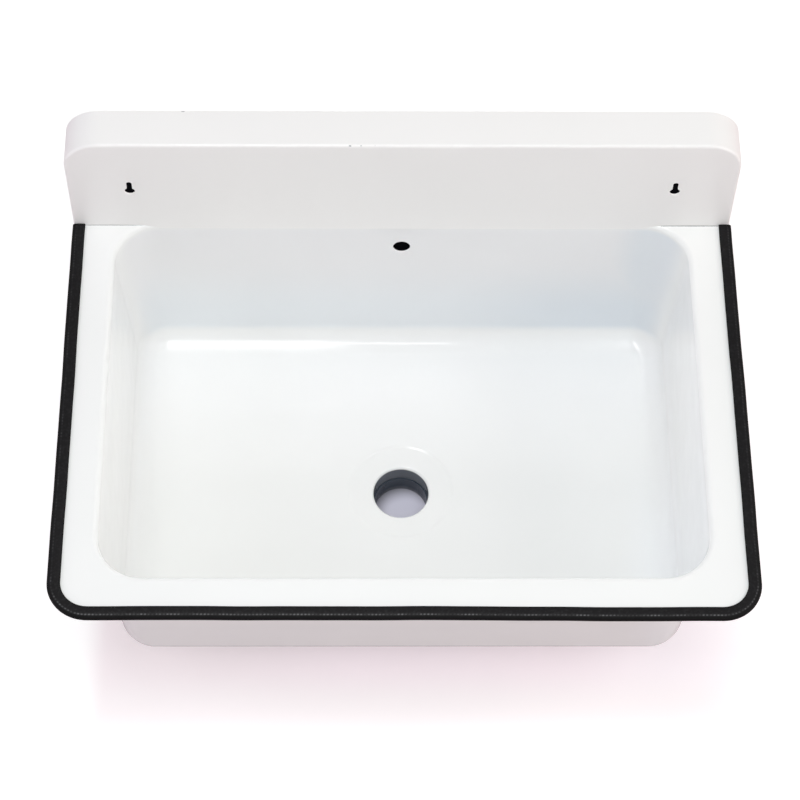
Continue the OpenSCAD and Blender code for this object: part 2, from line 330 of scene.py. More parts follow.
class Nodes:
    """Adds nodes to a tree, with each input given as a value or as another node's output."""

    def __init__(self, tree):
        self.tree = tree

    def add(self, kind, inputs=(), **settings):
        made = self.tree.nodes.new(kind)
        for key, value in settings.items():
            setattr(made, key, value)
        for key, value in dict(inputs).items():
            if isinstance(value, bpy.types.NodeSocket):
                self.join(value, made.inputs[key])
            else:
                made.inputs[key].default_value = value
        return made

    def join(self, source, target):
        self.tree.links.new(source, target)

    def group(self, tree, inputs):
        return self.add("ShaderNodeGroup", inputs, node_tree=tree).outputs

    def math(self, operation, a, b=0.0, clamp=False):
        return self.add("ShaderNodeMath", {0: a, 1: b}, operation=operation,
                        use_clamp=clamp).outputs[0]

    def times(self, first, *others):
        for other in others:
            first = self.math("MULTIPLY", first, other)
        return first

    def ramp(self, value, low, high, first=0.0, last=1.0):
        return self.add("ShaderNodeMapRange", {"Value": value, "From Min": low, "From Max": high,
                                               "To Min": first, "To Max": last},
                        interpolation_type="SMOOTHSTEP").outputs["Result"]

    def mix(self, factor, a, b):
        """Mixes two colours, each an output or a plain (red, green, blue)."""
        a, b = (c if isinstance(c, bpy.types.NodeSocket) else (*c, 1) for c in (a, b))
        return self.add("ShaderNodeMix", {0: factor, 6: a, 7: b}, data_type="RGBA").outputs[2]


def group_tree(name, kind, inputs, outputs):
    """A node group with named sockets, each given as name: (socket type, default).
    Returns its nodes, what it is given and what it puts out."""
    tree = bpy.data.node_groups.new(name, kind)
    for in_out, sockets in (("INPUT", inputs), ("OUTPUT", outputs)):
        for label, (socket, default) in sockets.items():
            made = tree.interface.new_socket(name=label, in_out=in_out, socket_type=socket)
            if default is not None:
                made.default_value = default
    nodes = Nodes(tree)
    return nodes, nodes.add("NodeGroupInput").outputs, nodes.add("NodeGroupOutput").inputs


VALUE, TINT, PLACE = "NodeSocketFloat", "NodeSocketColor", "NodeSocketVector"


def enamel_coat_group():
    """Fired enamel: a faint unevenness in tone, and the ripple of a poured coat."""
    nodes, given, out = group_tree(
        "enamel_coat", "ShaderNodeTree",
        {"Place": (PLACE, None), "Colour": (TINT, (0.9, 0.9, 0.9, 1)), "Unevenness": (VALUE, 0.02),
         "Ripple Size": (VALUE, 0.02)},
        {"Colour": (TINT, None), "Gloss Shift": (VALUE, None), "Height": (VALUE, None)})
    where = given["Place"]
    cloud = nodes.add("ShaderNodeTexNoise", {"Vector": where, "Scale": 9.0, "Detail": 2.0})
    tone = nodes.ramp(cloud.outputs[0], 0.3, 0.7, 1.0, 0.0)
    tone = nodes.times(tone, given["Unevenness"])
    darker = nodes.add("ShaderNodeHueSaturation", {"Value": nodes.math("SUBTRACT", 1.0, tone),
                                                   "Color": given["Colour"]})
    nodes.join(darker.outputs[0], out["Colour"])
    scale = nodes.math("DIVIDE", 1.0, given["Ripple Size"])
    ripple = nodes.add("ShaderNodeTexNoise", {"Vector": where, "Scale": scale, "Detail": 1.0})
    fine = nodes.add("ShaderNodeTexNoise", {"Vector": where, "Scale": nodes.times(scale, 7.0)})
    both = nodes.math("ADD", ripple.outputs[0], nodes.times(fine.outputs[0], 0.06))
    nodes.join(both, out["Height"])
    shift = nodes.times(nodes.math("SUBTRACT", cloud.outputs[0], 0.5), 0.08)
    nodes.join(shift, out["Gloss Shift"])
    return nodes.tree


def bare_spot_group():
    """A mask that is 1 within a distance of a line, and 0 outside, with a ragged edge."""
    nodes, given, out = group_tree(
        "bare_spot", "ShaderNodeTree",
        {"Place": (PLACE, None), "Centre": (PLACE, None), "Along": (PLACE, (1, 1, 1)),
         "Radius": (VALUE, 0.01), "Edge": (VALUE, 0.0004), "Raggedness": (VALUE, 0.0)},
        {"Mask": (VALUE, None)})
    away = nodes.add("ShaderNodeVectorMath", {0: given["Place"], 1: given["Centre"]},
                     operation="SUBTRACT").outputs[0]
    away = nodes.add("ShaderNodeVectorMath", {0: away, 1: given["Along"]},
                     operation="MULTIPLY").outputs[0]
    far = nodes.add("ShaderNodeVectorMath", {0: away}, operation="LENGTH").outputs["Value"]
    rough = nodes.add("ShaderNodeTexNoise", {"Vector": given["Place"], "Scale": 900.0})
    rough = nodes.times(nodes.math("SUBTRACT", rough.outputs[0], 0.5), given["Raggedness"])
    far = nodes.math("ADD", far, rough)
    low = nodes.math("SUBTRACT", given["Radius"], given["Edge"])
    high = nodes.math("ADD", given["Radius"], given["Edge"])
    nodes.join(nodes.ramp(far, low, high, 1.0, 0.0), out["Mask"])
    return nodes.tree


def rubber_grain_group():
    """Soft extrusion: fine grain, dust along its top, and how strong a painted highlight is on each
    stretch.
    """
    nodes, given, out = group_tree(
        "rubber_grain", "ShaderNodeTree",
        {"Place": (PLACE, None), "Colour": (TINT, (0.02, 0.02, 0.02, 1)), "Dust": (VALUE, 0.3),
         "Dust Colour": (TINT, (0.05, 0.05, 0.05, 1))},
        {"Colour": (TINT, None), "Gloss Shift": (VALUE, None), "Height": (VALUE, None),
         "Scuff": (VALUE, None)})
    where = given["Place"]
    fine = nodes.add("ShaderNodeTexNoise", {"Vector": where, "Scale": 1600.0, "Detail": 3.0})
    cloud = nodes.add("ShaderNodeTexNoise", {"Vector": where, "Scale": 420.0, "Detail": 4.0})
    long = nodes.add("ShaderNodeTexNoise", {"Vector": where, "Scale": 95.0, "Detail": 3.0})
    dust = nodes.times(nodes.ramp(cloud.outputs[0], 0.45, 0.7), given["Dust"])
    pale = nodes.mix(dust, given["Colour"], given["Dust Colour"])
    nodes.join(pale, out["Colour"])
    shift = nodes.times(nodes.math("SUBTRACT", fine.outputs[0], 0.5), 0.2)
    nodes.join(shift, out["Gloss Shift"])
    both = nodes.math("ADD", fine.outputs[0], nodes.times(cloud.outputs[0], 1.2))
    nodes.join(both, out["Height"])
    nodes.join(nodes.ramp(long.outputs[0], 0.36, 0.66, 0.12, 1.0), out["Scuff"])
    return nodes.tree


def shared_group(maker, name):
    """The node group of this name, made the first time that it is asked for."""
    return bpy.data.node_groups.get(name) or maker()


def new_material(name):
    """A material with its Principled shader, and the place on the object to work from."""
    material = bpy.data.materials.new(name)
    material.use_nodes = True
    nodes = Nodes(material.node_tree)
    shader = material.node_tree.nodes["Principled BSDF"]
    place = nodes.add("ShaderNodeTexCoord").outputs["Object"]
    return material, nodes, shader, place


def bump(nodes, shader, height, distance):
    made = nodes.add("ShaderNodeBump", {"Height": height, "Distance": distance, "Strength": 1.0})
    nodes.join(made.outputs[0], shader.inputs["Normal"])


def bowl_white(nodes, place):
    """The bowl's white, with painted shade and painted light: painted shade on the back wall, darkest and
    bluest low on its right, painted light at the right front, brighter and bluer, and painted light at
    the back of the floor. The floor is a little greyer."""
    s, finish = bpy.context.scene.sink_sizes, bpy.context.scene.sink_finishes
    rim, floor = -s.rim_level, -s.rim_level - s.bowl_depth
    x, y, z = nodes.add("ShaderNodeSeparateXYZ", {0: place}).outputs
    below_rim = nodes.ramp(z, rim - 3 * MM, rim - 9 * MM)
    on_floor = nodes.ramp(z, floor + 8 * MM, floor + 3 * MM)
    # Painted light at the right front.
    right_front = nodes.times(below_rim, nodes.ramp(x, 195 * MM, 245 * MM),
                              nodes.ramp(y, -100 * MM, -300 * MM))
    # Painted shade on the back wall, darkest low on its right.
    back_wall = nodes.times(below_rim, nodes.ramp(y, -30 * MM, -9 * MM),
                            nodes.ramp(z, floor + 8 * MM, floor + 18 * MM))
    low_or_right = nodes.math("MAXIMUM", nodes.ramp(z, rim - 47 * MM, floor + 35 * MM),
                              nodes.ramp(x, 190 * MM, 225 * MM, 0.0, 0.7))
    # Painted light at the back of the floor.
    rear_floor_light = nodes.times(nodes.ramp(z, floor + 18 * MM, floor + 3 * MM),
                       nodes.ramp(y, -190 * MM, -50 * MM))
    back_wall_shade = nodes.mix(nodes.ramp(x, 20 * MM, 190 * MM), finish.back_wall_left_shade, finish.back_wall_shade)
    back_wall_shade = nodes.mix(low_or_right, finish.upper, back_wall_shade)
    white = nodes.mix(on_floor, finish.enamel, finish.floor)
    white = nodes.mix(right_front, white, finish.right_front_painted_light)
    white = nodes.mix(back_wall, white, back_wall_shade)
    return nodes.mix(rear_floor_light, white, finish.rear_floor_painted_light)


def white_enamel(name, white, gloss, spots):
    """White enamel, with marks where the ground coat shows: (centre, along, radius, ragged, share).
    Its white is a colour, or a function that makes one from the nodes and the place."""
    finish = bpy.context.scene.sink_finishes
    material, nodes, shader, place = new_material(name)
    white = white(nodes, place) if callable(white) else (*white, 1)
    coat = nodes.group(shared_group(enamel_coat_group, "enamel_coat"),
                       {"Place": place, "Colour": white, "Unevenness": 0.012, "Ripple Size": 30 * MM})
    tone = coat["Colour"]
    for centre, along, radius, ragged, strength in spots:
        spot = nodes.group(shared_group(bare_spot_group, "bare_spot"),
                           {"Place": place, "Centre": centre, "Along": along, "Radius": radius,
                            "Raggedness": ragged, "Edge": 0.25 * MM})
        tone = nodes.mix(nodes.times(spot["Mask"], strength), tone, finish.ground)
    nodes.join(tone, shader.inputs["Base Color"])
    gloss = nodes.math("ADD", coat["Gloss Shift"], gloss, clamp=True)
    nodes.join(gloss, shader.inputs["Roughness"])
    bump(nodes, shader, coat["Height"], 0.2 * MM)
    return material


def ground_enamel():
    finish = bpy.context.scene.sink_finishes
    material, nodes, shader, place = new_material("ground_enamel")
    coat = nodes.group(shared_group(enamel_coat_group, "enamel_coat"),
                       {"Place": place, "Colour": (*finish.spigot, 1), "Unevenness": 0.25,
                        "Ripple Size": 6 * MM})
    height = nodes.add("ShaderNodeSeparateXYZ", {0: place}).outputs[2]
    end = CAD_BOX[0][2]
    # Painted reflection of the floor: the spigot is paler towards its lower end.
    at_end = nodes.ramp(height, end + 7.5 * MM, end - 0.5 * MM)
    tone = nodes.mix(at_end, coat["Colour"], finish.spigot_end_light)
    nodes.join(tone, shader.inputs["Base Color"])
    nodes.join(nodes.math("ADD", coat["Gloss Shift"], 0.22), shader.inputs["Roughness"])
    bump(nodes, shader, coat["Height"], 0.2 * MM)
    return material


def soft_trim():
    finish = bpy.context.scene.sink_finishes
    material, nodes, shader, place = new_material("black_trim")
    grain = nodes.group(rubber_grain_group(),
                        {"Place": place, "Colour": (*finish.trim, 1), "Dust": 0.14,
                         "Dust Colour": (*finish.dust, 1)})
    past = nodes.add("ShaderNodeAttribute", attribute_name="past_dots").outputs["Fac"]
    pressed = nodes.add("ShaderNodeAttribute", attribute_name="pressed").outputs["Fac"]
    # Painted shade: near black at the inner lip and on the outer face, which are also made rougher.
    deep = nodes.math("MAXIMUM", nodes.ramp(past, -7.4 * MM, -6.6 * MM, 0.9, 0.0),
                      nodes.ramp(past, 0.6 * MM, 1.8 * MM, 0.0, 0.8))
    tone = nodes.mix(deep, grain["Colour"], (0.001, 0.001, 0.001))
    # The dots where the clips press through get a painted highlight, whose strength changes along the
    # trim.
    dots = nodes.times(nodes.math("POWER", pressed, 2.0), grain["Scuff"])
    tone = nodes.mix(dots, tone, finish.dot_highlight)
    nodes.join(tone, shader.inputs["Base Color"])
    gloss = nodes.math("ADD", grain["Gloss Shift"], finish.trim_gloss)
    gloss = nodes.math("ADD", gloss, nodes.times(deep, 0.3), clamp=True)
    nodes.join(gloss, shader.inputs["Roughness"])
    shader.inputs["Specular IOR Level"].default_value = finish.trim_shine
    bump(nodes, shader, grain["Height"], 0.06 * MM)
    return material


def clip_steel():
    finish = bpy.context.scene.sink_finishes
    material, nodes, shader, place = new_material("clip_steel")
    grain = nodes.add("ShaderNodeTexNoise", {"Vector": place, "Scale": 2500.0, "Detail": 2.0})
    tone = nodes.mix(grain.outputs[0], [0.75 * c for c in finish.steel], finish.steel)
    nodes.join(tone, shader.inputs["Base Color"])
    nodes.join(nodes.ramp(grain.outputs[0], 0.2, 0.8, 0.28, 0.5), shader.inputs["Roughness"])
    shader.inputs["Metallic"].default_value = 1.0
    return material


# The sink's pieces


def wall_sections(s):
    """Upper and lower surfaces of the bowl from floor to rim: (reach from a corner's centre, height)."""
    lean = math.degrees(s.lean)
    centre = (s.mouth_corner + s.lip / math.cos(s.lean), -s.lip)
    run = (s.bowl_depth - s.lip - s.floor_bend * (1 - math.sin(s.lean))) / math.cos(s.lean)
    foot = s.mouth_corner - run * math.sin(s.lean) - s.floor_bend * math.cos(s.lean)
    bend = (foot, s.floor_bend - s.bowl_depth)
    lip_steps, wall_steps, bend_steps = 10, 6, 14
    inner_lip = arc(centre, s.lip, 180 - lean, 90, lip_steps)
    inner_bend = arc(bend, s.floor_bend, -90, -lean, bend_steps)
    outer_lip = arc(centre, s.lip - s.sheet, 90, 180 - lean, lip_steps)
    outer_bend = arc(bend, s.floor_bend + s.sheet, -lean, -90, bend_steps)
    upper = inner_bend + between(inner_bend[-1], inner_lip[0], wall_steps) + inner_lip
    lower = outer_lip + between(outer_lip[-1], outer_bend[0], wall_steps) + outer_bend
    return upper, lower


def between(a, b, steps):
    """Points between two section points, without the two."""
    return [(a[0] + (b[0] - a[0]) * i / steps, a[1] + (b[1] - a[1]) * i / steps)
            for i in range(1, steps)]


def drain_sections(s):
    """Upper and lower surfaces from the neck's end to the floor: (distance from the drain, height).
    The ring sinks in a soft step, and then falls evenly to the neck's bend. Turns are in degrees,
    and a narrow collar of faces beside a bend keeps the shading of what is flat."""
    ring = -s.bowl_depth - s.dish_drop
    neck = (s.drain / 2 + s.neck_bend, ring - s.neck_bend)
    end, bend = ring - s.neck, s.dish_bend
    step_turn, fall_turn = 18, 6.8
    step, fall = math.radians(step_turn), math.radians(fall_turn)
    top = (s.dish / 2, -s.bowl_depth - bend)
    low = (s.dish / 2 - 2 * bend * math.sin(step), top[1] + 2 * bend * math.cos(step))
    far = low[0] + bend * math.sin(fall)
    rest = low[1] - bend * math.cos(fall)
    inner = [(neck[0] - s.neck_bend * math.sin(fall), neck[1] + s.neck_bend * math.cos(fall))]
    collar = 0.6 * MM
    slope = between(inner[0], (far, rest), 6)
    upper = [(s.drain / 2, end), (s.drain / 2, neck[1] - collar)]
    upper += arc(neck, s.neck_bend, 180, 90 + fall_turn, 10) + slope
    upper += arc(low, bend, 270 + fall_turn, 270 + step_turn, 4)
    upper += arc(top, bend, 90 + step_turn, 90, 6)[1:] + [(top[0] + collar, -s.bowl_depth)]
    under = -s.bowl_depth - s.sheet
    lower = [(top[0] + collar, under)] + arc(top, bend - s.sheet, 90, 90 + step_turn, 6)
    lower += arc(low, bend + s.sheet, 270 + step_turn, 270 + fall_turn, 4)[1:]
    lower += [(r, z - s.sheet) for r, z in reversed(slope)]
    lower += arc(neck, s.neck_bend - s.sheet, 90 + fall_turn, 180, 10)
    lower += [(s.drain / 2 + s.sheet, end)]
    return upper, lower


def bowl_mesh(s):
    """The bowl with its rim: one skin from the drain up to the rim's edge and back underneath.
    Its rim is made too long at the back, and cut off level just behind the backsplash's face."""
    side_steps, floor_steps = (26, 18), 8
    mouth = round_stations(s.mouth_half, -s.mouth_depth, 0.0, s.mouth_corner, s.corner_steps, side_steps)
    back_edge = s.rim_corner + 30 * MM
    edge = round_stations(s.half_width, -s.rim_depth, back_edge, s.rim_corner, s.corner_steps, side_steps)
    upper, lower = wall_sections(s)
    to_floor, from_floor = drain_sections(s)
    count, turned = len(mouth), s.corner_steps // 2
    first = math.atan2(-s.mouth_corner + s.drain_back, s.mouth_half - s.mouth_corner)
    rays = [Vector((math.cos(first + 2 * math.pi * k / count),
                    math.sin(first + 2 * math.pi * k / count))) for k in range(count)]
    drain = [(Vector((0.0, -s.drain_back)), ray) for ray in rays[-turned:] + rays[:-turned]]

    def floor_loops(reach, height):
        ring = loop_at(drain, reach, height)
        wall = loop_at(mouth, upper[0][0] - 1.5 * MM, height)
        return [[a.lerp(b, i / floor_steps) for a, b in zip(ring, wall)]
                for i in range(1, floor_steps + 1)]

    collar, edge_bend = 0.8 * MM, 0.3 * MM
    loops = [loop_at(drain, r, z) for r, z in to_floor]
    loops += floor_loops(to_floor[-1][0], -s.bowl_depth)
    loops += [loop_at(mouth, u, z) for u, z in upper]
    loops += [loop_at(mouth, upper[-1][0] + collar, 0.0)]
    loops += [loop_at(edge, reach, height) for reach, height in
              ((s.rim_corner - collar, 0.0), (s.rim_corner, -edge_bend),
               (s.rim_corner, edge_bend - s.sheet), (s.rim_corner - collar, -s.sheet))]
    loops += [loop_at(mouth, lower[0][0] + collar, -s.sheet)]
    loops += [loop_at(mouth, u, z) for u, z in lower]
    loops += list(reversed(floor_loops(to_floor[-1][0], -s.bowl_depth - s.sheet)))
    loops += [loop_at(drain, r, z) for r, z in from_floor]
    drop = Vector((0, 0, s.rim_level))
    mesh = loft("sink_bowl", [[p - drop for p in loop] for loop in loops])
    face_outwards(mesh)
    cut_level(mesh, (0, s.sheet - 0.05 * MM, 0), (0, 1, 0))
    return mesh


class SINK_OT_bowl(Operator):
    """Make the pressed bowl with its rim, lip, sunk ring and neck"""

    bl_idname = "sink.bowl"
    bl_label = "Bowl"

    def execute(self, context):
        s, finish = context.scene.sink_sizes, context.scene.sink_finishes
        bowl = put_in_scene("sink_bowl", bowl_mesh(s))
        centre = Vector((0, 0, -s.rim_level - s.overflow_drop))
        hole = [(centre.x + r, centre.z + h) for r, h in arc((0, 0), s.overflow / 2, 0, 360, 64)[:-1]]
        cut_out(bowl, [prism("cut_overflow", hole, -12 * MM, 12 * MM)])
        shade(bowl.data)
        neck = ((0, -s.drain_back, 0), (1, 1, 0), s.drain / 2 + 0.15 * MM, 0.0, 1.0)
        seams = [((x, -0.1 * MM, -s.rim_level), (0.012, 1, 1), 0.5 * MM, 0.5 * MM, shown)
                 for x, shown in ((-262 * MM, 0.55), (262 * MM, 0.8))]
        material = white_enamel("bowl_enamel", bowl_white, finish.enamel_gloss, [neck, *seams])
        finish_piece(bowl, material, "white_enamel", "bowl")
        return {"FINISHED"}


def splash_stations(s):
    """(centre, outward) in x and z along the backsplash's edge, from its left foot to its right."""
    x, z = s.splash_half - s.splash_corner, s.splash_height - s.splash_corner
    side_steps, top_steps = 8, 30

    def corner(centre_x, start):
        turns = arc((0, 0), 1.0, start, start - 90, s.corner_steps)
        return [(Vector((centre_x, z)), Vector(outward)) for outward in turns]

    found = [(Vector((-x, z * k / side_steps)), Vector((-1, 0))) for k in range(side_steps)]
    found += corner(-x, 180)
    found += [(Vector((-x + 2 * x * k / top_steps, z)), Vector((0, 1))) for k in range(1, top_steps)]
    found += corner(x, 90)
    found += [(Vector((x, z * k / side_steps)), Vector((1, 0))) for k in reversed(range(side_steps))]
    return found


def tongue_row(s, y, end_x):
    """The backsplash face's lower edge at depth y, where it stands on the rim and the lip."""
    lip_u = s.mouth_corner + s.lip / math.cos(s.lean)
    first = math.degrees(math.asin((s.mouth_corner + y) / lip_u))
    x0, half, steps = s.mouth_half - s.mouth_corner, [], 12
    for k in range(steps + 1):
        a = math.radians(first + (90 - first) * k / steps)
        u = (s.mouth_corner + y) / math.sin(a)
        rise = math.sqrt(max(s.lip ** 2 - (lip_u - u) ** 2, 0.0))
        half.append((x0 + u * math.cos(a), rise - s.lip))
    right = [(end_x, 0.0)] + half
    return [Vector((-x, y, z)) for x, z in right] + [Vector((x, y, z)) for x, z in reversed(right)]


def tray_section(s):
    """Section of the tray's edge, from its face round the bend to the wall and back inside:
    (reach from a corner's centre, depth)."""
    bend = (s.splash_corner - s.splash_bend, s.splash_bend)
    collar, edge_bend = 1.2 * MM, 0.4 * MM
    out, inside, back = s.splash_corner, s.splash_corner - s.sheet, s.splash_depth
    section = [(bend[0] - collar, 0.0)] + arc(bend, s.splash_bend, -90, 0, 9)
    section += [(out, s.splash_bend + collar), (out, back - edge_bend), (out - edge_bend, back),
                (inside + edge_bend, back), (inside, back - edge_bend),
                (inside, s.splash_bend + collar)]
    return section + arc(bend, s.splash_bend - s.sheet, 0, -90, 5) + [(bend[0] - collar, s.sheet)]


def tray_mesh(s):
    """The backsplash: its edge swept round three sides, its face and back, and its foot."""
    stations, section = splash_stations(s), tray_section(s)
    count, points, faces = len(stations), [], []
    for u, v in section:
        points += [(c.x + d.x * u, v, c.y + d.y * u) for c, d in stations]
    for i in range(len(section) - 1):
        for k in range(count - 1):
            a = i * count + k
            faces.append((a, a + 1, a + 1 + count, a + count))
    rows, end_x = [], -points[0][0]
    for depth in (0.0, 0.15 * MM, 0.5 * MM, 1.0 * MM, s.sheet):
        row = tongue_row(s, depth, end_x)
        rows.append(list(range(len(points), len(points) + len(row))))
        points += row
    for a, b in zip(rows, rows[1:]):
        faces += [(a[k], a[k + 1], b[k + 1], b[k]) for k in range(len(a) - 1)]
    top = len(section) - 1
    faces.append(tuple(range(count)) + tuple(reversed(rows[0][1:-1])))
    faces.append(tuple(range(top * count, (top + 1) * count)) + tuple(reversed(rows[-1][1:-1])))
    for k in (0, -1):
        ring = [i * count + (k % count) for i in range(len(section))]
        faces.append(tuple(ring) + tuple(row[k] for row in reversed(rows[1:-1])))
    points = [Vector(p) - Vector((0, 0, s.rim_level)) for p in points]
    mesh = mesh_of("sink_backsplash", points, faces)
    face_outwards(mesh)
    return mesh


def keyhole(s, x):
    """Outline of a keyhole whose round part is centred at x, at height 0."""
    meet = math.degrees(math.asin(s.key_slot / s.key_head))
    outline = arc((0, 0), s.key_head / 2, 90 + meet, 450 - meet, 40)
    outline += arc((0, s.key_travel), s.key_slot / 2, 0, 180, 20)
    return [(x + a, b) for a, b in outline]


class SINK_OT_backsplash(Operator):
    """Make the backsplash tray with its two keyholes"""

    bl_idname = "sink.backsplash"
    bl_label = "Backsplash"

    def execute(self, context):
        s, finish = context.scene.sink_sizes, context.scene.sink_finishes
        tray = put_in_scene("sink_backsplash", tray_mesh(s))
        cut_out(tray, [prism("cut_keyhole", keyhole(s, x), -2 * MM, 4 * MM)
                       for x in (-s.key_half_pitch, s.key_half_pitch)])
        shade(tray.data)
        top = s.splash_height - s.rim_level
        wall_edge = s.splash_depth - 0.9 * MM
        chips = [((-46.6 * MM, 0.7 * MM, top - 0.3 * MM), (0.6, 1, 1), 0.7 * MM, 0.5 * MM, 0.75),
                 ((-37.0 * MM, 0.7 * MM, top - 0.3 * MM), (0.5, 1, 1), 0.6 * MM, 0.5 * MM, 0.6),
                 ((-24.8 * MM, 0.9 * MM, top), (0.7, 1, 1), 0.5 * MM, 0.3 * MM, 0.5),
                 ((-193.4 * MM, wall_edge, top), (0.5, 1, 1), 0.8 * MM, 0.5 * MM, 0.45)]
        material = white_enamel("backsplash_enamel", finish.splash, finish.splash_gloss, chips)
        finish_piece(tray, material, "white_enamel", "backsplash")
        return {"FINISHED"}


def waver(run):
    """A slow waver along a run, at most 1 each way."""
    waves = ((43 * MM, 0.0, 1.0), (17.1 * MM, 1.3, 0.6), (9.4 * MM, 0.4, 0.3))
    total = sum(weight * math.sin(run / size + turn) for size, turn, weight in waves)
    return total / sum(weight for _, _, weight in waves)


def trim_rail(s, t):
    """The line that the trim follows: the edge of the sheet, at the middle of its thickness. It
    wavers a little, and has slipped to the right and, at the right front, off the sheet."""
    x, y, r = s.half_width, s.rim_depth - s.rim_corner, s.rim_corner
    level, step, line = -s.rim_level - s.sheet / 2, t.pitch / 4, []

    def straight(a, b):
        n = max(1, round((b - a).length / step))
        line.extend(a.lerp(b, k / n) for k in range(n))

    def corner(centre, start):
        n = round(r * math.pi / 2 / step)
        line.extend(Vector(p) for p in arc(centre, r, start, start + 90, n)[:-1])

    straight(Vector((-x, 0)), Vector((-x, -y)))
    corner((-x + r, -y), 180)
    straight(Vector((-x + r, -y - r)), Vector((x - r, -y - r)))
    corner((x - r, -y), 270)
    straight(Vector((x, -y)), Vector((x, 0)))
    line.append(Vector((x, 0)))
    points = []
    for k, p in enumerate(line):
        ahead = line[min(k + 1, len(line) - 1)] - line[max(k - 1, 0)]
        across = Vector((ahead.y, -ahead.x)).normalized()
        run, left = k * step, (len(line) - 1 - k) * step
        stray = waver(run) * t.wander * min(1.0, run / (20 * MM), left / (20 * MM))
        right = min(1.0, max(0.0, (p.x + 20 * MM) / (200 * MM)))
        sag = t.sag * min(1.0, -p.y / (300 * MM)) * right ** 2 * (3 - 2 * right)
        points.append((*(p + across * stray + Vector((t.slip, -sag))), level))
    mesh = bpy.data.meshes.new("sink_edge_trim")
    mesh.from_pydata(points, [(k, k + 1) for k in range(len(points) - 1)], [])
    return mesh


def trim_outline(t):
    """Outline of the trim: x outwards from the sheet's edge, y up from its middle."""
    half, inner = t.height / 2, t.stand - t.width
    outer = (t.stand - t.outer_bend, half - t.outer_bend)
    lip = (inner + t.lip_bend, half - t.lip_bend)
    grip, dots = 0.84 * MM, t.stand - t.shoulder
    upper = [(0.6 * MM, t.slot / 2), (inner + 1.8 * MM, t.slot / 2), (inner + 1.4 * MM, grip),
             (inner + 0.5 * MM, grip), (inner + 0.1 * MM, 1.1 * MM)]
    upper += arc(lip, t.lip_bend, 180, 90, 4)
    upper += [(u, half + rise * MM) for u, rise in
              ((inner + 3.4 * MM, 0.1), (inner + 5.6 * MM, 0.12), (dots - 0.9 * MM, 0.12),
               (dots - 0.4 * MM, 0.14), (dots, 0.1), (dots + 0.4 * MM, 0.02))]
    upper += arc(outer, t.outer_bend, 80, 0, 9)
    lower = [(u, -v) for u, v in reversed(upper)]
    points = [(u, v, 0.0) for u, v in upper + lower]
    mesh = bpy.data.meshes.new("trim_section")
    mesh.from_pydata(points, [(k, (k + 1) % len(points)) for k in range(len(points))], [])
    return mesh


class SINK_OT_edge_trim(Operator):
    """Make the soft trim that runs round the rim's edge"""

    bl_idname = "sink.edge_trim"
    bl_label = "Edge Trim"

    def execute(self, context):
        s, t = context.scene.sink_sizes, context.scene.trim_sizes
        rail = put_in_scene("sink_edge_trim", trim_rail(s, t))
        section = put_in_scene("trim_section", trim_outline(t))
        material = soft_trim()
        modifier = rail.modifiers.new("trim", "NODES")
        modifier.node_group = trim_nodes()
        values = {"Section": section, "Pitch": t.pitch, "Swell": t.swell,
                  "Side Swell": t.side_swell, "Corner Start": s.rim_corner - s.rim_depth,
                  "Shoulder": t.stand - t.shoulder,
                  "Half Height": t.height / 2, "Material": material}
        for item in modifier.node_group.interface.items_tree:
            if item.item_type == "SOCKET" and item.in_out == "INPUT" and item.name in values:
                modifier[item.identifier] = values[item.name]
        applied(rail)
        bpy.data.objects.remove(section)
        face_outwards(rail.data)
        shade(rail.data, 40)
        finish_piece(rail, material, "black_trim", "edge_trim")
        return {"FINISHED"}


